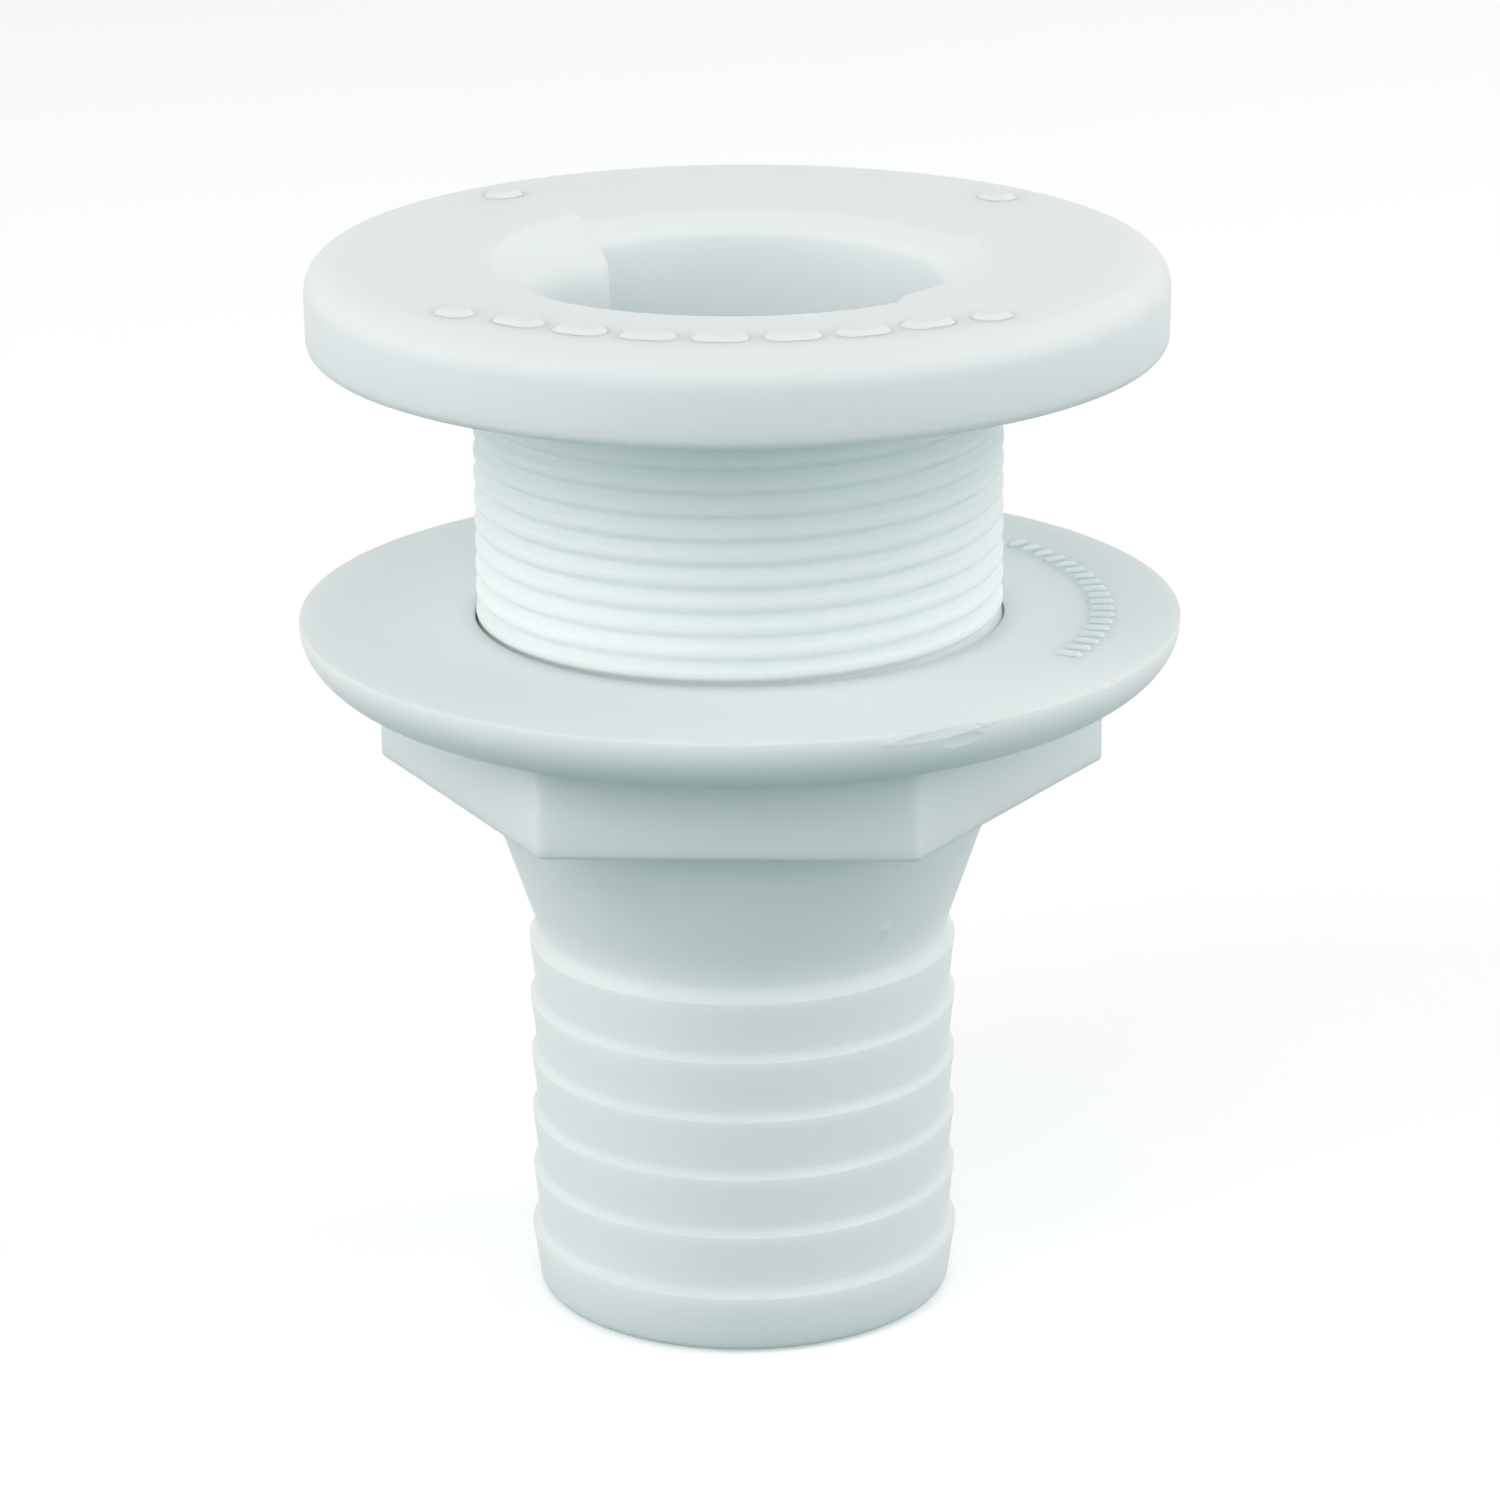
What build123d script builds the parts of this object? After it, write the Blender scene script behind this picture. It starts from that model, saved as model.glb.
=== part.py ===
from build123d import *
import math
import os

# White moulded-plastic thru-hull fitting for 38 mm (1-1/2 in) hose, in two pieces:
#   body        mushroom flange, threaded barrel and barbed hose tail in one moulding
#   flange_nut  one-piece hexagon nut with a round flange, screwed on the barrel
# Millimetres, +Z points outboard, out of the hull. The origin is on the bore's axis,
# in the plane of the flange's underside, which seats on the outside of the hull.

# ---- driving dimensions -------------------------------------------------------------

# mushroom flange
FLANGE_R = 38.5
FLANGE_T = 7.9
FLANGE_TOP_FILLET = 4.0
FLANGE_EDGE_FILLET = 0.8

# mouth: a shallow dish, a funnel, then the barrel's bore
DISH_R = 23.5
MOUTH_R = 20.8
MOUTH_DEPTH = 0.9
BORE_R = 19.0
FUNNEL_DEPTH = 2.5

# two lugs in the mouth, half a turn apart, for a step wrench. Each starts at an abrupt
# end face and fades into the bore, because its inside is a cylinder set off centre.
LUG_COUNT = 2
LUG_ANGLE = 132.0
LUG_SPAN = 80.0
LUG_TOP_R = 21.6
LUG_SLOPE = 43.0
LUG_DEPTH = 14.0
LUG_INSIDE_R = 17.8
LUG_OFFSET = 1.5
LUG_OFFSET_ANGLE = 110.0
# A lug reaches this far into the wall behind it.
LUG_ROOTING = 1.0

# barrel thread: 1-7/8 in by 12 threads to the inch, right hand, 60 degree flanks
PITCH = 25.4 / 12
MAJOR_R = 23.8
THREAD_DEPTH = 0.9
CREST_WIDTH = 0.8
THREAD_END_Z = -40.6
LEAD_IN = 1.6
# The ridge's middle crosses the +X side at this height, plus whole pitches.
THREAD_PHASE_Z = -6.81
# The thread ends under the flange in a plain collar, a little larger than its crests.
COLLAR_R = 23.95
COLLAR_DEPTH = 0.8

# hose tail: each barb has a sharp crest, with a hollow shoulder above it and a slow taper
# below it
CONE_TOP_R = 22.2
CONE_SLOPE = 0.34
NECK_R = 18.85
NECK_Z = -54.65
BARB_COUNT = 6
BARB_PITCH = 5.63
FIRST_BARB_Z = -56.35
LAST_BARB_DROP = 0.25
BARB_SHOULDER = 0.75
BARB_R = 19.62
LAST_BARB_R = 19.8
VALLEY_R = 19.05
TAIL_END_Z = -89.9
TAIL_END_R = 19.0
TAIL_END_FILLET = 0.7
TAIL_BORE_R = 16.2
BORE_CONE_TOP_Z = -43.0
BORE_CONE_END_Z = -52.0

# flange nut, with its seating face this far below the flange's underside
NUT_FACE_Z = -24.95
NUT_FLANGE_R = 39.8
NUT_RIM = 0.35
NUT_DISH_WIDTH = 9.0
NUT_DISH_HEIGHT = 5.9
NUT_H = 14.4
HEX_ACROSS_FLATS = 57.15
HEX_TURN = -2.3
HEX_CORNER_FILLET = 0.8
HEX_EDGE_FILLET = 0.5
# The nut's thread is this much larger in radius than the barrel's, so that the nut can
# slide along the barrel without turning.
NUT_THREAD_CLEARANCE = 1.2

# ---- shared construction ------------------------------------------------------------

FLANK = math.tan(math.radians(30))
MINOR_R = MAJOR_R - THREAD_DEPTH
# A ridge reaches this far into the wall it stands on.
RIDGE_ROOTING = 0.1
DOWN = (0, 0, -1)
UP = (0, 0, 1)
OUT = (1, 0, 0)


def rz(radius, height):
    """A point of an outline, on the +X side."""
    return (radius, 0, height)


def chain(points):
    """Straight edges through (r, z) points."""
    ends = [rz(*point) for point in points]
    return [Line(first, second) for first, second in zip(ends, ends[1:])]


def turned(edges, angle=360):
    """A solid of revolution from a closed outline."""
    return revolve(make_face(edges), Axis.Z, angle)


def helical_ridge(wall_r, tip_r, low_z, turns):
    """A right-hand ridge on the wall at wall_r, in line with the barrel's thread."""
    start = low_z + (THREAD_PHASE_Z - low_z) % PITCH
    root_r = wall_r - RIDGE_ROOTING
    half_tip = CREST_WIDTH / 2
    half_root = half_tip + (THREAD_DEPTH + RIDGE_ROOTING) * FLANK
    outline = chain(
        [
            (root_r, start - half_root),
            (tip_r, start - half_tip),
            (tip_r, start + half_tip),
            (root_r, start + half_root),
            (root_r, start - half_root),
        ]
    )
    path = Helix(PITCH, turns * PITCH, root_r, center=(0, 0, start))
    return Solid.sweep(make_face(outline).face(), path=path, is_frenet=True)


# ---- body ---------------------------------------------------------------------------


def tail_edges():
    """The outside of the hose tail, from its neck down to the end face."""
    edges = []
    valley = rz(NECK_R, NECK_Z)
    for index in range(BARB_COUNT):
        is_last = index == BARB_COUNT - 1
        crest_z = FIRST_BARB_Z - index * BARB_PITCH - is_last * LAST_BARB_DROP
        crest = rz(LAST_BARB_R if is_last else BARB_R, crest_z)
        if index:
            valley = rz(VALLEY_R, crest_z + BARB_SHOULDER)
            edges.append(Line(last, valley))
        edges.append(TangentArc(valley, crest, tangent=DOWN))
        last = crest
    corner = rz(TAIL_END_R, TAIL_END_Z + TAIL_END_FILLET)
    edges.append(Line(last, corner))
    edges.append(TangentArc(corner, rz(TAIL_END_R - TAIL_END_FILLET, TAIL_END_Z), tangent=DOWN))
    return edges


def body_outline():
    """Flange, plain barrel, cone, hose tail and bore, as one closed outline."""
    flange_flat_r = FLANGE_R - FLANGE_TOP_FILLET
    flange_side_z = FLANGE_T - FLANGE_TOP_FILLET
    seat_r = FLANGE_R - FLANGE_EDGE_FILLET
    cone_top_z = NECK_Z + (CONE_TOP_R - NECK_R) / CONE_SLOPE
    return [
        Line(rz(DISH_R, FLANGE_T), rz(flange_flat_r, FLANGE_T)),
        TangentArc(rz(flange_flat_r, FLANGE_T), rz(FLANGE_R, flange_side_z), tangent=OUT),
        Line(rz(FLANGE_R, flange_side_z), rz(FLANGE_R, FLANGE_EDGE_FILLET)),
        TangentArc(rz(FLANGE_R, FLANGE_EDGE_FILLET), rz(seat_r, 0), tangent=DOWN),
        *chain(
            [
                (seat_r, 0),
                (COLLAR_R, 0),
                (COLLAR_R, -COLLAR_DEPTH),
                (MINOR_R, -COLLAR_DEPTH - (COLLAR_R - MINOR_R)),
                (MINOR_R, THREAD_END_Z),
                (CONE_TOP_R, cone_top_z),
                (NECK_R, NECK_Z),
            ]
        ),
        *tail_edges(),
        *chain(
            [
                (TAIL_END_R - TAIL_END_FILLET, TAIL_END_Z),
                (TAIL_BORE_R, TAIL_END_Z),
                (TAIL_BORE_R, BORE_CONE_END_Z),
                (BORE_R, BORE_CONE_TOP_Z),
                (BORE_R, FLANGE_T - FUNNEL_DEPTH),
                (MOUTH_R, FLANGE_T - MOUTH_DEPTH),
                (DISH_R, FLANGE_T),
            ]
        ),
    ]


def barrel_thread():
    """The ridge round the barrel, cut off by the collar above and a lead-in cone below."""
    turns = math.ceil(-THREAD_END_Z / PITCH) + 1
    ridge = helical_ridge(MINOR_R, MAJOR_R, THREAD_END_Z - PITCH, turns)
    inner_r = MINOR_R - 5 * RIDGE_ROOTING
    outer_r = MAJOR_R + RIDGE_ROOTING
    envelope = turned(
        chain(
            [
                (inner_r, THREAD_END_Z),
                (outer_r, THREAD_END_Z + LEAD_IN),
                (outer_r, -COLLAR_DEPTH / 2),
                (inner_r, -COLLAR_DEPTH / 2),
                (inner_r, THREAD_END_Z),
            ]
        )
    )
    return ridge & envelope


def wrench_lug(angle):
    """A lug whose top slopes down from the flange's face, with one abrupt end."""
    rise = math.tan(math.radians(LUG_SLOPE))
    reach = LUG_TOP_R - LUG_INSIDE_R + 2 * LUG_OFFSET
    low_z = FLANGE_T - LUG_DEPTH
    inner_r = LUG_TOP_R - reach
    wall_r = BORE_R + LUG_ROOTING
    outline = chain(
        [
            (DISH_R, FLANGE_T),
            (LUG_TOP_R, FLANGE_T),
            (inner_r, FLANGE_T - reach * rise),
            (inner_r, low_z),
            (wall_r, low_z),
            (wall_r, FLANGE_T - FUNNEL_DEPTH - LUG_ROOTING),
            (DISH_R, FLANGE_T - MOUTH_DEPTH - LUG_ROOTING),
            (DISH_R, FLANGE_T),
        ]
    )
    sector = Rot(0, 0, angle) * turned(outline, LUG_SPAN)
    shift = Rot(0, 0, angle + LUG_OFFSET_ANGLE) * Pos(LUG_OFFSET, 0, 0)
    return sector - shift * Pos(0, 0, FLANGE_T - LUG_DEPTH / 2) * Cylinder(LUG_INSIDE_R, 2 * LUG_DEPTH)


def make_body():
    body = turned(body_outline()) + barrel_thread()
    for index in range(LUG_COUNT):
        body += wrench_lug(LUG_ANGLE + index * 360 / LUG_COUNT)
    return body


# ---- flange nut ---------------------------------------------------------------------


def nut_flange():
    """The nut's round flange: a flat face, a thin rim and a rounded underside."""
    rim_z = NUT_FACE_Z - NUT_RIM
    dish_z = rim_z - NUT_DISH_HEIGHT
    dish_r = NUT_FLANGE_R - NUT_DISH_WIDTH
    underside = Plane.XZ * EllipticalCenterArc(
        (dish_r, rim_z),
        NUT_DISH_WIDTH,
        NUT_DISH_HEIGHT,
        start_angle=-90,
        arc_size=90,
    )
    return turned(
        [
            underside,
            *chain(
                [
                    (NUT_FLANGE_R, rim_z),
                    (NUT_FLANGE_R, NUT_FACE_Z),
                    (BORE_R, NUT_FACE_Z),
                    (BORE_R, dish_z),
                    (dish_r, dish_z),
                ]
            ),
        ]
    )


def nut_hexagon():
    """The hexagon below the flange, with rounded corners and a rounded lower edge."""
    low_z = NUT_FACE_Z - NUT_H
    outline = RegularPolygon(HEX_ACROSS_FLATS / 2, 6, major_radius=False, rotation=HEX_TURN)
    outline = fillet(outline.vertices(), HEX_CORNER_FILLET)
    height = NUT_H - NUT_RIM - NUT_DISH_HEIGHT / 2
    hexagon = Pos(0, 0, low_z) * extrude(outline, height)
    lower_edges = hexagon.faces().sort_by(Axis.Z)[0].edges()
    return fillet(lower_edges, HEX_EDGE_FILLET)


def nut_groove(hole_r):
    """The thread's groove in the wall of the nut's hole, running out at both faces."""
    low_z = NUT_FACE_Z - NUT_H - PITCH
    turns = math.ceil(NUT_H / PITCH) + 2
    return helical_ridge(hole_r, MAJOR_R + NUT_THREAD_CLEARANCE, low_z, turns)


def make_flange_nut():
    hole_r = MINOR_R + NUT_THREAD_CLEARANCE
    hole = Pos(0, 0, NUT_FACE_Z - NUT_H / 2) * Cylinder(hole_r, 2 * NUT_H)
    return nut_flange() + nut_hexagon() - hole - nut_groove(hole_r)


# ---- write --------------------------------------------------------------------------

NODES = {
    "body": make_body,
    "flange_nut": make_flange_nut,
}

os.makedirs("parts", exist_ok=True)
for name, make in NODES.items():
    export_step(make().solid(), f"parts/{name}.step")
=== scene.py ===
import math

import bpy
import bmesh
import numpy as np
from mathutils import Matrix, Vector


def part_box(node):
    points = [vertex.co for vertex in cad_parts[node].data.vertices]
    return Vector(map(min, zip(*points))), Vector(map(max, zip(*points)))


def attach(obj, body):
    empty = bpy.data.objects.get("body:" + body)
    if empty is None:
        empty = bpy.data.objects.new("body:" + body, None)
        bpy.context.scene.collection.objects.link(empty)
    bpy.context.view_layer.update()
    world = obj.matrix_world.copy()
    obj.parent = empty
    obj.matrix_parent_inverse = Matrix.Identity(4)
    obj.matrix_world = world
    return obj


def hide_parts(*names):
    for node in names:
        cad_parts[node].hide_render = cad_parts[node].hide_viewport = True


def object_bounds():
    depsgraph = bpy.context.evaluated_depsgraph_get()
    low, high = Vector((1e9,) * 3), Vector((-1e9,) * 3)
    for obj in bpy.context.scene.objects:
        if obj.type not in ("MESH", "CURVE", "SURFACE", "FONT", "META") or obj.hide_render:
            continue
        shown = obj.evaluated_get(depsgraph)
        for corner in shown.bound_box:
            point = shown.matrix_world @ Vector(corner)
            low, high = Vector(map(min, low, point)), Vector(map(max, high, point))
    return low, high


# A white moulded-plastic thru-hull fitting: a body with a mushroom flange, a threaded
# barrel and a barbed hose tail, and a flanged hexagon nut. Outlines are in millimetres
# in the CAD frame, +Z outboard. Meshes, lights and the camera are in metres.

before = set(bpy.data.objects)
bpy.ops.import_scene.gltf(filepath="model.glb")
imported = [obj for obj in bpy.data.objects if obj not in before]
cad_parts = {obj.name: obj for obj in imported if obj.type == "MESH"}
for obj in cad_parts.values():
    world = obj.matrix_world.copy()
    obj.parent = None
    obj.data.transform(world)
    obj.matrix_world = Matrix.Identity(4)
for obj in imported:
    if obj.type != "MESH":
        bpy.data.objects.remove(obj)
cad_low, cad_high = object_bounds()
MM = 0.001


def extents(node):
    """A node's largest radius and its lowest and highest z, in millimetres."""
    low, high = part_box(node)
    return high.x / MM, low.z / MM, high.z / MM


FLANGE_R, TAIL_END_Z, FLANGE_TOP_Z = extents("body")
NUT_R, NUT_LOW_Z, NUT_FACE_Z = extents("flange_nut")

# ---- sizes --------------------------------------------------------------------------

# columns of a mesh round the axis, before the extra ones at corners and ends
COLUMNS = 240
# the largest share of an outline's leg that a fillet takes
FILLET_SHARE = 0.48
SAME_PLACE = 1e-7

# mushroom flange, then its mouth: a shallow dish, a funnel and the barrel's bore
FLANGE_TOP_FILLET = 4.05
FLANGE_SIDE_DRAFT = 0.1
FLANGE_LOW_FILLET = 1.0
DISH_R = 23.5
DISH_FILLET = 2.5
MOUTH_R = 20.8
MOUTH_DEPTH = 0.9
MOUTH_FILLET = 0.8
BORE_R = 19.0
FUNNEL_DEPTH = 2.5
FUNNEL_FILLET = 1.6

# wrench lugs in the mouth. Each one starts at an abrupt end and fades over its last part.
LUG_ANGLES = (132.0, 312.0)
LUG_SPAN = 84.0
LUG_FADE = 30.0
LUG_TOP_R = 21.6
LUG_TOP_DROP = 0.02
LUG_SLOPE = 43.0
LUG_DEPTH = 14.0
LUG_INSIDE_R = 17.8
LUG_OFFSET = 1.5
LUG_OFFSET_ANGLE = 110.0
LUG_LIP_FILLET = 4.0
LUG_FOOT_FILLET = 0.25
# degrees past the lug's start, and how much of the lug there is
LUG_END_STEPS = ((-0.45, 0.0), (-0.15, 0.08), (0.15, 0.92), (0.45, 1.0))

# thread
PITCH = 25.4 / 12
MAJOR_R = 23.8
THREAD_DEPTH = 0.9
MINOR_R = MAJOR_R - THREAD_DEPTH
CREST_WIDTH = 0.8
FLANK = math.tan(math.radians(30))
CREST_ROUND = 0.3
ROOT_ROUND = 0.3
THREAD_PHASE_Z = -6.53
THREAD_END_Z = -40.6
THREAD_RUNOUT = 0.3
LEAD_IN = 1.6
COLLAR_R = 23.85
COLLAR_DEPTH = 0.8
COLLAR_FILLET = 0.3
ROWS_PER_PITCH = 12

# hose tail
CONE_TOP_R = 22.2
CONE_TOP_FILLET = 4.0
CONE_SLOPE = 0.34
NECK_R = 18.85
NECK_Z = -54.45
BARB_COUNT = 6
BARB_PITCH = 5.63
FIRST_BARB_Z = -56.0
LAST_BARB_DROP = 0.25
BARB_SHOULDER = 0.75
SHOULDER_STEPS = 6
BARB_R = 19.62
LAST_BARB_R = 19.8
CREST_FILLET = 0.12
VALLEY_R = 19.05
TAIL_END_R = 19.0
TAIL_END_FILLET = 0.7
TAIL_BORE_R = 16.2
TAIL_BORE_FILLET = 0.6
BORE_CONE_TOP_Z = -43.0
BORE_CONE_END_Z = -52.0
BORE_CONE_FILLET = 3.0

# a moulding pip on the cone, with a finer mesh round it
PIP_ANGLE = -50.6
PIP_Z = -50.4
PIP_RISE = 0.3
PIP_R = 0.5
PIP_COLUMNS = np.arange(-4, 5) * 0.7
PIP_ROWS = np.arange(5, -6, -1) * 0.24

# nut
NUT_RIM = 0.35
RIM_TOP_FILLET = 0.15
RIM_LOW_FILLET = 0.1
NUT_DISH_WIDTH = 9.0
NUT_DISH_HEIGHT = 5.9
HEX_APOTHEM = 57.15 / 2
HEX_TURN = -2.3
HEX_CORNER = 0.8
HEX_EDGE_FILLET = 0.5
# The cove under the flange ends this far outside the hexagon.
COVE_MARGIN = 0.5
COVE_FILLET = 0.35
# degrees from a hexagon's corner to the extra columns round it
CORNER_STEPS = (-1.6, -1.1, -0.7, -0.46, -0.23, 0, 0.23, 0.46, 0.7, 1.1, 1.6)
NUT_THREAD_CLEARANCE = 1.2
HOLE_EDGE_R = 23.95
HOLE_EDGE_FILLET = 0.06
HOLE_LOW_R = 24.4
HOLE_LOW_FILLET = 0.2
# The threaded part of the hole stops this far inside both faces, and near the upper face
# its thread runs out, from this many pitches below the face.
HOLE_MARGIN = 0.4
HOLE_PLAIN_PITCHES = 0.3

# scars on the nut's rim: angle, half width in degrees, height from the rim's edge, half
# height, slant, the torn edge's height and the hollow's depth
RIM_SCARS = (
    (-64.5, 6.8, -0.45, 0.42, 0.3, 0.16, 0.14),
    (-61.5, 3.2, -1.35, 0.6, 0.2, 0.03, 0.22),
    (-36.0, 1.3, -0.1, 0.4, 0.0, 0.08, 0.25),
)
SCAR_STEP = 0.35

# raised marks: four dots and a row of plain bars on the flange, and small bars on the nut.
# A size is half the length across and half the width.
DOT_COUNT = 4
DOT_R = 32.3
DOT_ANGLE = -48.0
DOT_SIZE = (1.5, 1.2)
FLANGE_BAR_COUNT = 7
FLANGE_BAR_R = 31.0
FLANGE_BAR_STEP = 11.3
FLANGE_BAR_MIDDLE = -92.6
FLANGE_BAR_SIZE = (2.1, 1.15)
NUT_BAR_COUNT = 19
NUT_BAR_R = 32.7
NUT_BAR_STEP = 3.6
NUT_BAR_MIDDLE = 5.0
NUT_BAR_SIZE = (0.3, 1.1)
NUT_BAR_SINK = 0.12
MARK_COLUMNS = 32
MARK_LEAST_R = 0.1
# from a mark's foot to its top: how far outside its size, and how high
MARK_PROFILE = (
    (0.35, -0.25),
    (0.35, 0.0),
    (0.22, 0.06),
    (0.08, 0.16),
    (-0.06, 0.28),
    (-0.22, 0.38),
    (-0.42, 0.43),
    (-0.65, 0.44),
)


# ---- meshes -------------------------------------------------------------------------


def closed_mesh(name, points, faces):
    """A smooth-shaded object from a closed mesh, with its faces turned outwards."""
    mesh = bpy.data.meshes.new(name)
    mesh.from_pydata([tuple(p) for p in points], [], [tuple(f) for f in faces])
    work = bmesh.new()
    work.from_mesh(mesh)
    bmesh.ops.dissolve_degenerate(work, dist=SAME_PLACE, edges=work.edges)
    if work.calc_volume(signed=True) < 0:
        bmesh.ops.reverse_faces(work, faces=work.faces)
    work.to_mesh(mesh)
    work.free()
    mesh.polygons.foreach_set("use_smooth", [True] * len(mesh.polygons))
    piece = bpy.data.objects.new(name, mesh)
    bpy.context.scene.collection.objects.link(piece)
    return piece


def lathe(name, rows, angles):
    """A closed mesh from rows of (r, z) round the Z axis, closed both ways."""
    count = len(angles)
    grid = np.array([np.broadcast_to(row.reshape(2, -1), (2, count)) for row in rows])
    r, z = grid[:, 0], grid[:, 1]
    points = np.stack([r * np.cos(angles), r * np.sin(angles), z], -1).reshape(-1, 3) * MM
    row, col = np.meshgrid(np.arange(len(rows)), np.arange(count), indexing="ij")
    down, across = (row + 1) % len(rows), (col + 1) % count
    corners = [row * count + col, row * count + across, down * count + across, down * count + col]
    return closed_mesh(name, points, np.stack(corners, -1).reshape(-1, 4))


def spaced_angles(special):
    """Evenly spaced angles in radians, with special ones in degrees in place of those near them."""
    even = np.arange(COLUMNS) * 360 / COLUMNS
    special = np.array(special) % 360
    gap = np.abs((even[:, None] - special[None, :] + 180) % 360 - 180).min(1)
    return np.radians(np.sort(np.concatenate([even[gap > 180 / COLUMNS], special])))


def outline(corners):
    """Rows of (r, z) through corners, each (r, z) or (r, z, fillet radius, steps).

    A radius, a height or a fillet is one number, or one for each column. A corner without
    a fillet on a straight run only keeps the faces beside it short."""
    width = max(np.size(value) for corner in corners for value in corner[:2])
    places = [np.array([np.zeros(width) + value for value in corner[:2]]) for corner in corners]
    rows = []
    for index, (corner, here) in enumerate(zip(corners, places)):
        if len(corner) == 2 or index in (0, len(corners) - 1):
            rows.append(here)
            continue
        radius, steps = corner[2:]
        legs = []
        for other in (places[index - 1], places[index + 1]):
            leg = other - here
            length = np.maximum(np.sqrt((leg**2).sum(0)), 1e-9)
            legs.append((leg / length, length))
        (first, first_len), (second, second_len) = legs
        half = np.arccos(np.clip((first * second).sum(0), -1, 1)) / 2
        longest = FILLET_SHARE * np.minimum(first_len, second_len)
        reach = np.minimum(radius / np.tan(half), longest)
        start, end = here + first * reach, here + second * reach
        # a circular arc, as a rational quadratic curve
        for s in np.linspace(0, 1, steps + 1):
            a, b, c = (1 - s) ** 2, 2 * s * (1 - s) * np.sin(half), s * s
            rows.append((a * start + b * here + c * end) / (a + b + c))
    return rows


def smooth(t):
    """From 0 to 1 without a corner at either end."""
    t = np.clip(t, 0, 1)
    return t * t * (3 - 2 * t)


def soft_max(a, b, k):
    """The larger of a and b, rounded where they cross, over a width of k."""
    h = np.maximum(k - np.abs(a - b), 0) / k
    return np.maximum(a, b) + h * h * k / 4


def degrees_past(middle, angles):
    """How many degrees each angle, in radians, is past the middle, from -180 to 180."""
    return (np.degrees(angles) - middle + 180) % 360 - 180


# ---- thread -------------------------------------------------------------------------


def ridge_height(z, angles):
    """How far a 60 degree thread's ridge stands above its root, at a height and an angle."""
    off = (z - THREAD_PHASE_Z) / PITCH - angles / (2 * math.pi)
    off = np.abs(off - np.round(off)) * PITCH
    flank = (CREST_WIDTH / 2 + THREAD_DEPTH * FLANK - off) / FLANK
    return -soft_max(-soft_max(flank, 0, ROOT_ROUND), -THREAD_DEPTH, CREST_ROUND)


def barrel_r(z, angles):
    """The barrel's radius. The thread's ridge fades in over the lead-in at its lower end."""
    limit = np.clip((z - THREAD_END_Z) / LEAD_IN * THREAD_DEPTH, 0, THREAD_DEPTH)
    return MINOR_R + np.minimum(ridge_height(z, angles), limit)


def hole_r(z, angles):
    """The threaded hole's radius. The thread runs out below the nut's face."""
    depth = smooth((NUT_FACE_Z - z) / PITCH - HOLE_PLAIN_PITCHES)
    thread_r = MINOR_R + NUT_THREAD_CLEARANCE + ridge_height(z, angles)
    return HOLE_EDGE_R + depth * (thread_r - HOLE_EDGE_R)


def threaded_rows(wall_r, first_z, last_z, angles):
    """The rows of a threaded wall, after its first one."""
    count = math.ceil(abs(last_z - first_z) / PITCH * ROWS_PER_PITCH)
    heights = np.linspace(first_z, last_z, count + 1)[1:]
    return [np.array([wall_r(z, angles), z + 0 * angles]) for z in heights]


# ---- body ---------------------------------------------------------------------------


def flange_rows(collar_end):
    """Out over the flange's top, down its side, in under it and down the collar."""
    return outline(
        [
            (28.0, FLANGE_TOP_Z),
            (31.0, FLANGE_TOP_Z),
            (FLANGE_R, FLANGE_TOP_Z, FLANGE_TOP_FILLET, 14),
            (FLANGE_R - FLANGE_SIDE_DRAFT / 2, FLANGE_TOP_FILLET / 2 + 0.2),
            (FLANGE_R - FLANGE_SIDE_DRAFT, 0, FLANGE_LOW_FILLET, 6),
            (34.0, 0),
            (29.0, 0),
            (25.0, 0),
            (COLLAR_R, 0, COLLAR_FILLET, 4),
            (COLLAR_R, -COLLAR_DEPTH, COLLAR_FILLET, 3),
            collar_end,
        ]
    )


def cone_corners(angles):
    """The lower part of the cone, with the moulding pip on it."""
    sideways = NECK_R * (angles - math.radians(PIP_ANGLE + 360))
    corners = []
    for z in PIP_Z + PIP_ROWS:
        away = np.hypot(z - PIP_Z, sideways)
        pip = PIP_RISE * np.exp(-((away / PIP_R) ** 2))
        corners.append((NECK_R + (z - NECK_Z) * CONE_SLOPE + pip, z))
    return corners


def barb_corners(valley_r, valley_z, crest_r, crest_z):
    """A barb's hollow shoulder: upright in the valley, and sweeping out to a rounded crest."""
    rise, drop = crest_r - valley_r, valley_z - crest_z
    radius = (rise**2 + drop**2) / (2 * rise)
    sweep = math.asin(drop / radius)
    if radius < rise:
        sweep = math.pi - sweep
    corners = []
    for step in range(SHOULDER_STEPS):
        turn = sweep * step / SHOULDER_STEPS
        corners.append((valley_r + radius * (1 - math.cos(turn)), valley_z - radius * math.sin(turn)))
    return corners + [(crest_r, crest_z, CREST_FILLET, 3)]


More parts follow.
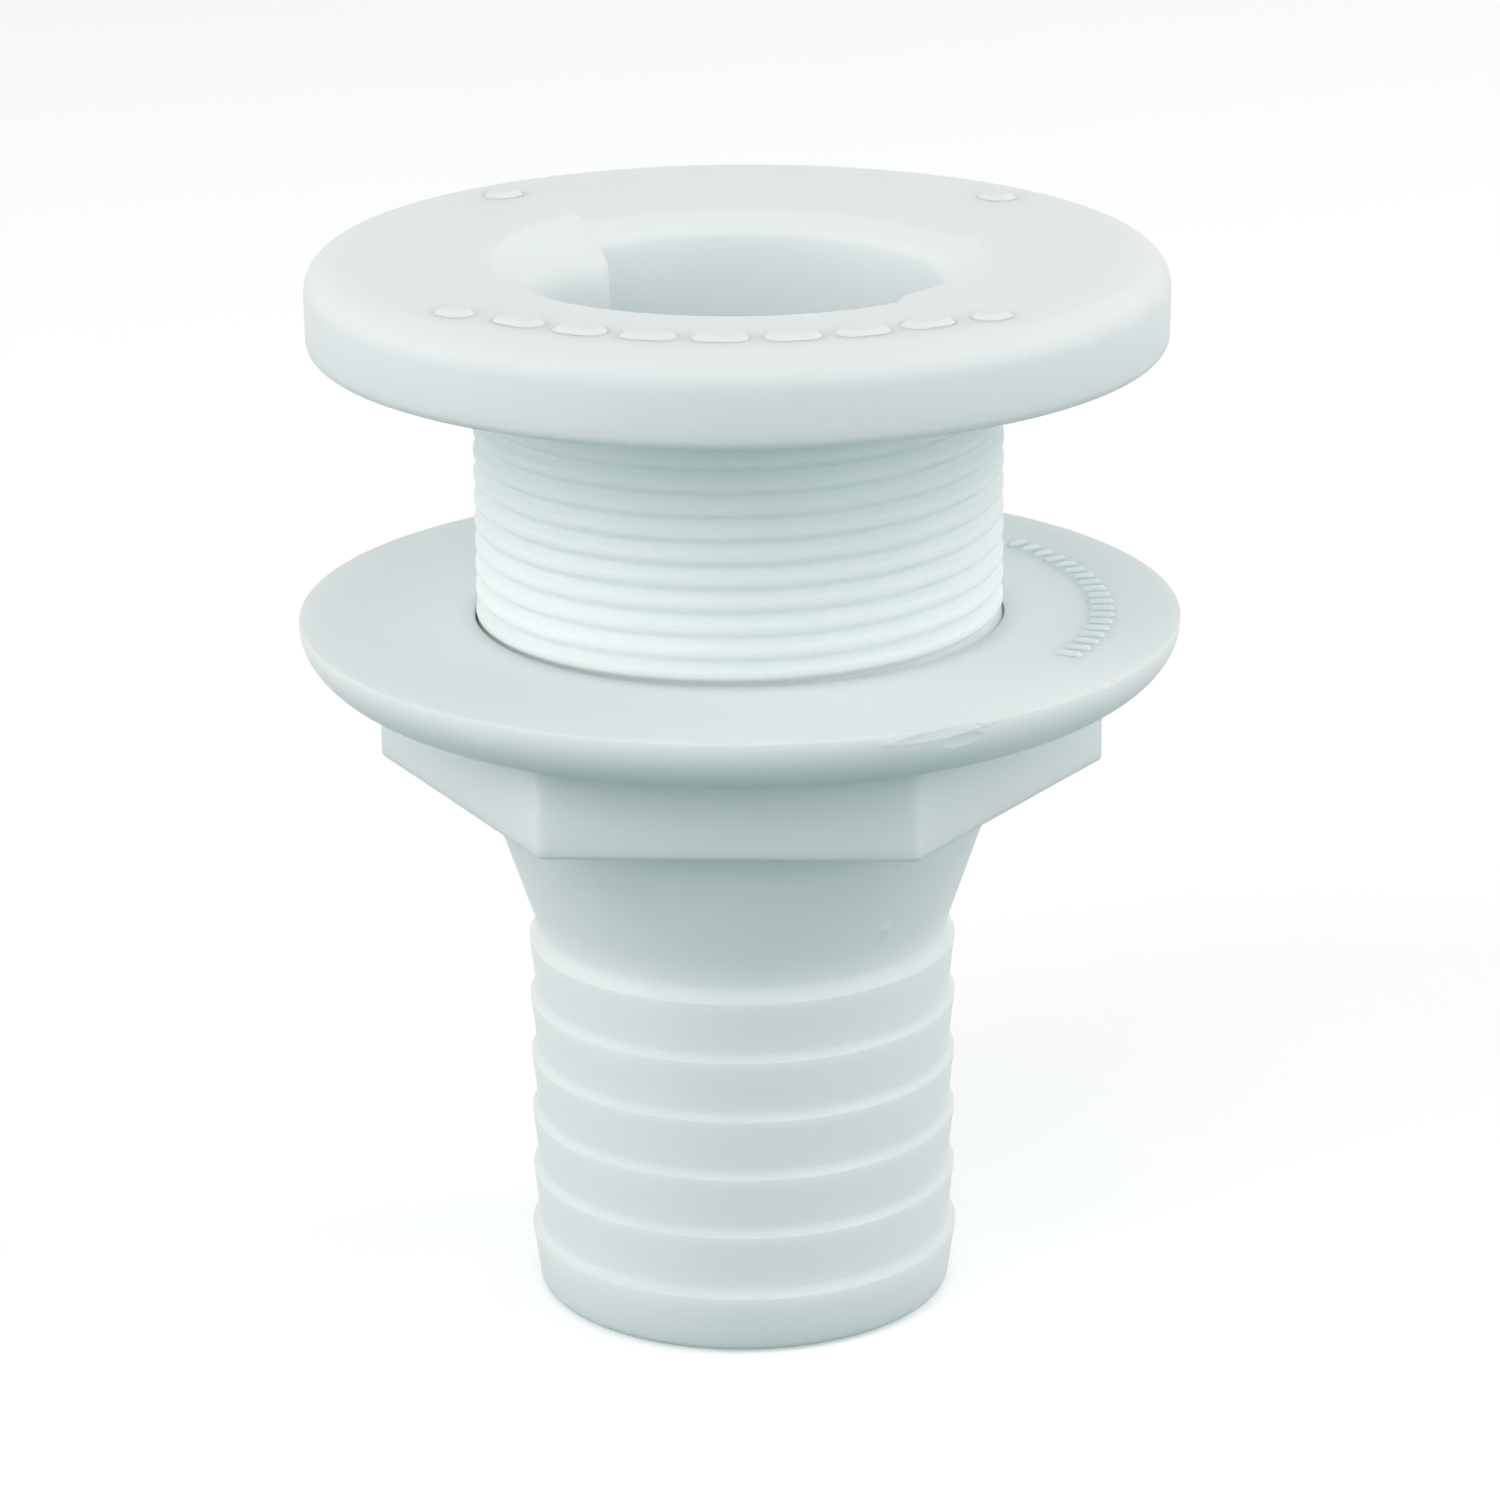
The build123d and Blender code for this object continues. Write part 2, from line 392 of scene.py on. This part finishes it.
def tail_rows(thread_end, angles):
    """From the thread's end down the cone and the barbs, and back up inside the tail."""
    cone_top_z = NECK_Z + (CONE_TOP_R - NECK_R) / CONE_SLOPE
    corners = [thread_end, (CONE_TOP_R, cone_top_z, CONE_TOP_FILLET, 4)]
    corners += cone_corners(angles)
    valley_r, valley_z = NECK_R, NECK_Z
    for index in range(BARB_COUNT):
        is_last = index == BARB_COUNT - 1
        crest_r = LAST_BARB_R if is_last else BARB_R
        crest_z = FIRST_BARB_Z - index * BARB_PITCH - is_last * LAST_BARB_DROP
        if index:
            valley_r, valley_z = VALLEY_R, crest_z + BARB_SHOULDER
        corners += barb_corners(valley_r, valley_z, crest_r, crest_z)
    corners += [
        (TAIL_END_R, TAIL_END_Z, TAIL_END_FILLET, 6),
        (TAIL_BORE_R, TAIL_END_Z, TAIL_BORE_FILLET, 4),
        (TAIL_BORE_R, -70.0),
        (TAIL_BORE_R, BORE_CONE_END_Z, BORE_CONE_FILLET, 4),
        (BORE_R, BORE_CONE_TOP_Z, BORE_CONE_FILLET, 4),
        (BORE_R, -20.0),
    ]
    return outline(corners)[1:]


def lug_shape(angles):
    """How much of a lug there is at each angle, and the lug's inside radius there."""
    weight = np.zeros_like(angles)
    inside = np.full_like(angles, BORE_R)
    for lug in LUG_ANGLES:
        along = degrees_past(lug, angles)
        near = np.interp(along, *zip(*LUG_END_STEPS))
        here = near * (1 - smooth((along - LUG_SPAN + LUG_FADE) / LUG_FADE))
        turn = np.radians(along - LUG_OFFSET_ANGLE)
        ray = LUG_OFFSET * np.cos(turn) + np.sqrt(LUG_INSIDE_R**2 - (LUG_OFFSET * np.sin(turn)) ** 2)
        weight = np.where(here > 0, here, weight)
        inside = np.where(here > 0, BORE_R + (np.minimum(ray, BORE_R) - BORE_R) * near, inside)
    return weight, inside


def mouth_rows(angles):
    """Up the bore, over the lugs and the funnel, and out to the flange's top."""
    weight, inside = lug_shape(angles)

    def between(plain, lug):
        return plain + weight * (lug - plain)

    top = FLANGE_TOP_Z
    foot = top - LUG_DEPTH
    lip_z = top - (LUG_TOP_R - inside) * math.tan(math.radians(LUG_SLOPE))
    funnel_z = between(top - FUNNEL_DEPTH, lip_z)
    edge_r, edge_z = between(MOUTH_R, LUG_TOP_R), between(top - MOUTH_DEPTH, top - LUG_TOP_DROP)
    return outline(
        [
            (BORE_R, -14.0),
            (BORE_R, foot - 0.3),
            (inside, foot, LUG_FOOT_FILLET, 2),
            (inside, foot / 2),
            (inside, funnel_z, between(FUNNEL_FILLET, LUG_LIP_FILLET), 6),
            (edge_r, edge_z, MOUTH_FILLET, 5),
            (DISH_R, top, DISH_FILLET, 4),
            (25.5, top),
        ]
    )


def make_body():
    special = [lug + step for lug in LUG_ANGLES for step, _ in LUG_END_STEPS]
    angles = spaced_angles(special + list(PIP_ANGLE + PIP_COLUMNS))
    first_z = -COLLAR_DEPTH - (COLLAR_R - MINOR_R)
    last_z = THREAD_END_Z - THREAD_RUNOUT
    rows = flange_rows((barrel_r(first_z, angles), first_z))
    rows += threaded_rows(barrel_r, first_z, last_z, angles)
    rows += tail_rows((MINOR_R, last_z), angles)
    rows += mouth_rows(angles)
    return lathe("thru_hull_body", rows, angles)


# ---- nut ----------------------------------------------------------------------------


def hexagon_r(angles):
    """The hexagon's radius at each angle, with rounded corners."""
    off = np.abs((np.degrees(angles) - HEX_TURN + 30) % 60 - 30)
    flat = HEX_APOTHEM / np.cos(np.radians(30 - off))
    centre = (HEX_APOTHEM - HEX_CORNER) / math.cos(math.radians(30))
    turn = np.radians(off)
    beyond = np.sqrt(np.maximum(HEX_CORNER**2 - (centre * np.sin(turn)) ** 2, 0))
    corner = centre * np.cos(turn) + beyond
    corner_end = math.atan2(HEX_CORNER / 2, centre + HEX_CORNER * math.cos(math.radians(30)))
    return np.where(off < math.degrees(corner_end), corner, flat)


def rim_scars(angles, z):
    """How far the rim's scars stand out (positive) or go in, at each angle and height."""
    rise = np.zeros_like(angles)
    for middle, half_width, drop, half_height, slant, edge, hollow in RIM_SCARS:
        u = degrees_past(middle, angles) / half_width
        v = (z - (NUT_FACE_Z + drop + slant * u)) / half_height
        # Two waves make the scar's edge uneven. The edge stands up, and the rest is hollow.
        away = np.sqrt(u**2 + v**2) + 0.07 * np.sin(31 * u + 1) + 0.05 * np.sin(57 * u)
        rise += edge * np.exp(-(((away - 0.95) / 0.17) ** 2))
        rise -= hollow * smooth((0.95 - away) / 0.3)
    return rise


def cove_z(r):
    """The height of the nut flange's rounded underside."""
    across = np.clip((r - NUT_R + NUT_DISH_WIDTH) / NUT_DISH_WIDTH, 0, 1)
    return NUT_FACE_Z - NUT_RIM - NUT_DISH_HEIGHT * np.sqrt(1 - across**2)


def nut_flange_rows(hexagon, angles):
    """Out over the nut's face, round its rim and in along the cove, with the rim's scars."""
    face_rings = [(r, NUT_FACE_Z) for r in (28.0, 33.0, 37.0, 38.5)]
    rim = [
        (NUT_R, NUT_FACE_Z, RIM_TOP_FILLET, 3),
        (NUT_R, NUT_FACE_Z - NUT_RIM, RIM_LOW_FILLET, 2),
        (NUT_R - 0.05, cove_z(NUT_R - 0.05)),
    ]
    rows = outline(face_rings + rim)[:-1]
    cove_end = hexagon + COVE_MARGIN
    # The first rows are close together, for the scars.
    for turn in np.concatenate([np.arange(1, 22) * 0.015, np.linspace(0.33, math.pi / 2, 16)]):
        r = cove_end + (NUT_R - cove_end) * math.cos(turn)
        rows.append(np.array([r, cove_z(r)]))
    rows = [np.array([r + 0 * angles, z + 0 * angles]) for r, z in rows]
    for row in rows[len(face_rings) :]:
        row[0] += rim_scars(angles, row[1])
    return rows


def make_nut():
    special = [HEX_TURN + 60 * side + step for side in range(6) for step in CORNER_STEPS]
    # The second scar lies within the first one's finer columns.
    for middle, half_width, *_ in RIM_SCARS[::2]:
        reach = 1.2 * half_width
        special += list(np.arange(middle - reach, middle + reach, SCAR_STEP))
    angles = spaced_angles(special)
    hexagon = hexagon_r(angles)
    first_z, last_z = NUT_LOW_Z + HOLE_MARGIN, NUT_FACE_Z - HOLE_MARGIN
    rows = nut_flange_rows(hexagon, angles)
    rows += outline(
        [
            (hexagon + COVE_MARGIN, cove_z(hexagon + COVE_MARGIN)),
            (hexagon, cove_z(hexagon), COVE_FILLET, 3),
            (hexagon, -34.0),
            (hexagon, NUT_LOW_Z, HEX_EDGE_FILLET, 5),
            (26.5, NUT_LOW_Z),
            (HOLE_LOW_R, NUT_LOW_Z, HOLE_LOW_FILLET, 2),
            (hole_r(first_z, angles), first_z),
        ]
    )[1:]
    rows += threaded_rows(hole_r, first_z, last_z, angles)
    rows += outline(
        [
            (hole_r(last_z, angles), last_z),
            (HOLE_EDGE_R, NUT_FACE_Z, HOLE_EDGE_FILLET, 2),
            (26.0, NUT_FACE_Z),
        ]
    )[1:]
    return lathe("hexagon_flange_nut", rows, angles)


# ---- raised marks -------------------------------------------------------------------


def raised_bars(name, bars, surface_z):
    """Closed rounded bars on a flat face. A bar is (radius, angle, half length across, half width)."""
    # The small turn keeps every column off the bar's own axes.
    around = np.linspace(0, 2 * math.pi, MARK_COLUMNS + 1)[:-1] + 0.001
    points, faces = [], []
    for radius, angle, half_length, half_width in bars:
        first = len(points)
        end = min(half_length, half_width)
        turn = math.radians(angle)
        outward = np.array([math.cos(turn), math.sin(turn)])
        across = np.array([math.sin(turn), -math.cos(turn)])
        for offset, height in MARK_PROFILE:
            size = max(end + offset, MARK_LEAST_R)
            length = (half_length - end) * np.sign(np.cos(around)) + size * np.cos(around)
            width = (half_width - end) * np.sign(np.sin(around)) + size * np.sin(around)
            flat = (radius + width[:, None]) * outward + length[:, None] * across
            points += [(x, y, surface_z + height) for x, y in flat]
        last = first + (len(MARK_PROFILE) - 1) * MARK_COLUMNS
        for low in range(first, last, MARK_COLUMNS):
            high = low + MARK_COLUMNS
            for k in range(MARK_COLUMNS):
                after = (k + 1) % MARK_COLUMNS
                faces.append((low + k, low + after, high + after, high + k))
        faces.append([first + k for k in reversed(range(MARK_COLUMNS))])
        faces.append([last + k for k in range(MARK_COLUMNS)])
    return closed_mesh(name, np.array(points) * MM, faces)


def row_of_bars(radius, middle, step, count, size):
    """Evenly spaced bars along an arc."""
    turns = [middle + (index - (count - 1) / 2) * step for index in range(count)]
    return [(radius, turn, *size) for turn in turns]


def make_flange_marks():
    turns = [DOT_ANGLE + 360 / DOT_COUNT * index for index in range(DOT_COUNT)]
    dots = [(DOT_R, turn, *DOT_SIZE) for turn in turns]
    row = row_of_bars(
        FLANGE_BAR_R, FLANGE_BAR_MIDDLE, FLANGE_BAR_STEP, FLANGE_BAR_COUNT, FLANGE_BAR_SIZE
    )
    return raised_bars("flange_top_marks", dots + row, FLANGE_TOP_Z)


def make_nut_marks():
    row = row_of_bars(NUT_BAR_R, NUT_BAR_MIDDLE, NUT_BAR_STEP, NUT_BAR_COUNT, NUT_BAR_SIZE)
    return raised_bars("nut_face_marks", row, NUT_FACE_Z - NUT_BAR_SINK)


# ---- material -----------------------------------------------------------------------

# the plastic's two close tints, each with its place on the noise, and how matt it is
TINTS = ((0.3, (0.845, 0.927, 0.917)), (0.7, (0.858, 0.938, 0.929)))
ROUGHNESS = (0.46, 0.56)


def ramp_node(nodes, stops):
    """A colour ramp with its stops, each (place from 0 to 1, colour)."""
    node = nodes.new("ShaderNodeValToRGB")
    while len(node.color_ramp.elements) < len(stops):
        node.color_ramp.elements.new(0.5)
    for element, (place, colour) in zip(node.color_ramp.elements, stops):
        element.position = place
        element.color = (*colour, 1)
    return node


def plastic(name, translucent=True):
    """White moulded plastic. A thin mark has none of its own depth for light to spread in."""
    material = bpy.data.materials.new(name)
    material.use_nodes = True
    nodes, links = material.node_tree.nodes, material.node_tree.links
    shader = nodes["Principled BSDF"]
    coords = nodes.new("ShaderNodeTexCoord")

    def noise(scale, detail):
        node = nodes.new("ShaderNodeTexNoise")
        node.inputs["Scale"].default_value = scale
        node.inputs["Detail"].default_value = detail
        links.new(coords.outputs["Object"], node.inputs["Vector"])
        return node.outputs["Fac"]

    tint = ramp_node(nodes, TINTS)
    links.new(noise(60, 3), tint.inputs["Fac"])
    links.new(tint.outputs["Color"], shader.inputs["Base Color"])
    matt = nodes.new("ShaderNodeMapRange")
    matt.inputs["To Min"].default_value, matt.inputs["To Max"].default_value = ROUGHNESS
    links.new(noise(300, 4), matt.inputs["Value"])
    links.new(matt.outputs["Result"], shader.inputs["Roughness"])
    bump = nodes.new("ShaderNodeBump")
    bump.inputs["Strength"].default_value = 0.05
    bump.inputs["Distance"].default_value = 0.0002
    links.new(noise(900, 3), bump.inputs["Height"])
    links.new(bump.outputs["Normal"], shader.inputs["Normal"])
    shader.inputs["IOR"].default_value = 1.5
    shader.inputs["Specular IOR Level"].default_value = 0.35
    shader.inputs["Subsurface Weight"].default_value = 0.8 if translucent else 0
    shader.inputs["Subsurface Radius"].default_value = (1.0, 1.0, 1.0)
    shader.inputs["Subsurface Scale"].default_value = 0.003
    return material


# ---- stage, light and camera --------------------------------------------------------

FLOOR_HALF_SIZE = 6.0
FLOOR_GAP = 0.0002

# name, azimuth clockwise from the camera's side, elevation, power in watts
STUDIO_LIGHTS = (
    ("left_low", -90, 8, 1.9),
    ("right_low", 90, 8, 1.5),
    ("left_high", -45, 40, 2.5),
    ("front_high", 0, 40, 1.0),
    ("right_high", 90, 40, 1.9),
    ("back_right", 150, 40, 0.5),
    ("top", 0, 75, 0.8),
)
LIGHT_COLOUR = (0.975, 0.848, 0.864)
LIGHT_TARGET = Vector((0, 0, -0.035))
LIGHT_DISTANCE = 1.1
LIGHT_SIZE = 0.55

# height of the direction, from -1 straight down to 1 straight up, and the light from it
SKY = (
    (-0.7, (0.107, 0.222, 0.221)),
    (-0.1, (0.185, 0.252, 0.241)),
    (0.3, (1.41, 1.39, 1.4)),
    (0.8, (0.05, 0.12, 0.11)),
)

# the long lens of a product photograph, a little above the flange
CAMERA_TARGET = Vector((0.84, 0, -38.59)) * MM
CAMERA_DISTANCE = 517.13 * MM
CAMERA_ELEVATION = 18.265
CAMERA_ROLL = -0.405
CAMERA_LENS = 136.006
CAMERA_SENSOR = 36


def make_stage():
    """A plain pale floor, which neither lights the object from below nor shades it."""
    size = FLOOR_HALF_SIZE
    z = cad_low.z - FLOOR_GAP
    mesh = bpy.data.meshes.new("floor")
    corners = [(-size, -size, z), (size, -size, z), (size, size, z), (-size, size, z)]
    mesh.from_pydata(corners, [], [(0, 1, 2, 3)])
    floor = bpy.data.objects.new("floor", mesh)
    bpy.context.scene.collection.objects.link(floor)
    material = bpy.data.materials.new("floor")
    material.use_nodes = True
    shader = material.node_tree.nodes["Principled BSDF"]
    shader.inputs["Base Color"].default_value = (0.93, 0.93, 0.93, 1)
    shader.inputs["Roughness"].default_value = 0.9
    shader.inputs["Specular IOR Level"].default_value = 0.1
    shader.inputs["Emission Color"].default_value = (1, 1, 1, 1)
    shader.inputs["Emission Strength"].default_value = 0.3
    floor.data.materials.append(material)
    floor.visible_diffuse = False
    floor.visible_shadow = False


def make_sky():
    """A soft light from all round, strongest a little above the horizon."""
    world = bpy.data.worlds.new("studio")
    bpy.context.scene.world = world
    world.use_nodes = True
    nodes, links = world.node_tree.nodes, world.node_tree.links
    height = nodes.new("ShaderNodeSeparateXYZ")
    links.new(nodes.new("ShaderNodeTexCoord").outputs["Generated"], height.inputs["Vector"])
    place = nodes.new("ShaderNodeMapRange")
    place.inputs["From Min"].default_value = -1
    links.new(height.outputs["Z"], place.inputs["Value"])
    glow = ramp_node(nodes, [((level + 1) / 2, colour) for level, colour in SKY])
    links.new(place.outputs["Result"], glow.inputs["Fac"])
    links.new(glow.outputs["Color"], nodes["Background"].inputs["Color"])


def make_lights():
    for name, azimuth, elevation, power in STUDIO_LIGHTS:
        turn, tilt = math.radians(azimuth), math.radians(elevation)
        level = math.cos(tilt)
        away = Vector((math.sin(turn) * level, -math.cos(turn) * level, math.sin(tilt)))
        light = bpy.data.lights.new(name, "AREA")
        light.shape = "DISK"
        light.size = LIGHT_SIZE
        light.energy = power
        light.color = LIGHT_COLOUR
        holder = bpy.data.objects.new(name, light)
        holder.location = LIGHT_TARGET + away * LIGHT_DISTANCE
        holder.rotation_euler = (-away).to_track_quat("-Z", "Y").to_euler()
        bpy.context.scene.collection.objects.link(holder)


def make_camera():
    tilt, roll = math.radians(CAMERA_ELEVATION), math.radians(CAMERA_ROLL)
    back = Vector((0, -math.cos(tilt), math.sin(tilt)))
    right, up = Vector((1, 0, 0)), Vector((0, math.sin(tilt), math.cos(tilt)))
    side = right * math.cos(roll) + up * math.sin(roll)
    top = up * math.cos(roll) - right * math.sin(roll)
    data = bpy.data.cameras.new("camera")
    data.sensor_width = CAMERA_SENSOR
    data.lens = CAMERA_LENS
    data.clip_start, data.clip_end = 0.01, 20
    camera = bpy.data.objects.new("camera", data)
    bpy.context.scene.collection.objects.link(camera)
    axes = Matrix((side, top, back)).transposed().to_4x4()
    camera.matrix_world = Matrix.Translation(CAMERA_TARGET + back * CAMERA_DISTANCE) @ axes
    bpy.context.scene.camera = camera


# ---- scene --------------------------------------------------------------------------

make_camera()
body = make_body()
nut = make_nut()
for piece, marks, node, slot in (
    (body, make_flange_marks(), "body", "body_plastic"),
    (nut, make_nut_marks(), "flange_nut", "nut_plastic"),
):
    piece.data.materials.append(plastic(slot))
    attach(piece, node)
    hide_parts(node)
    marks.data.materials.append(plastic(slot + "_marks", translucent=False))
    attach(marks, node)
make_stage()
make_sky()
make_lights()
bpy.context.scene.view_settings.view_transform = "Standard"
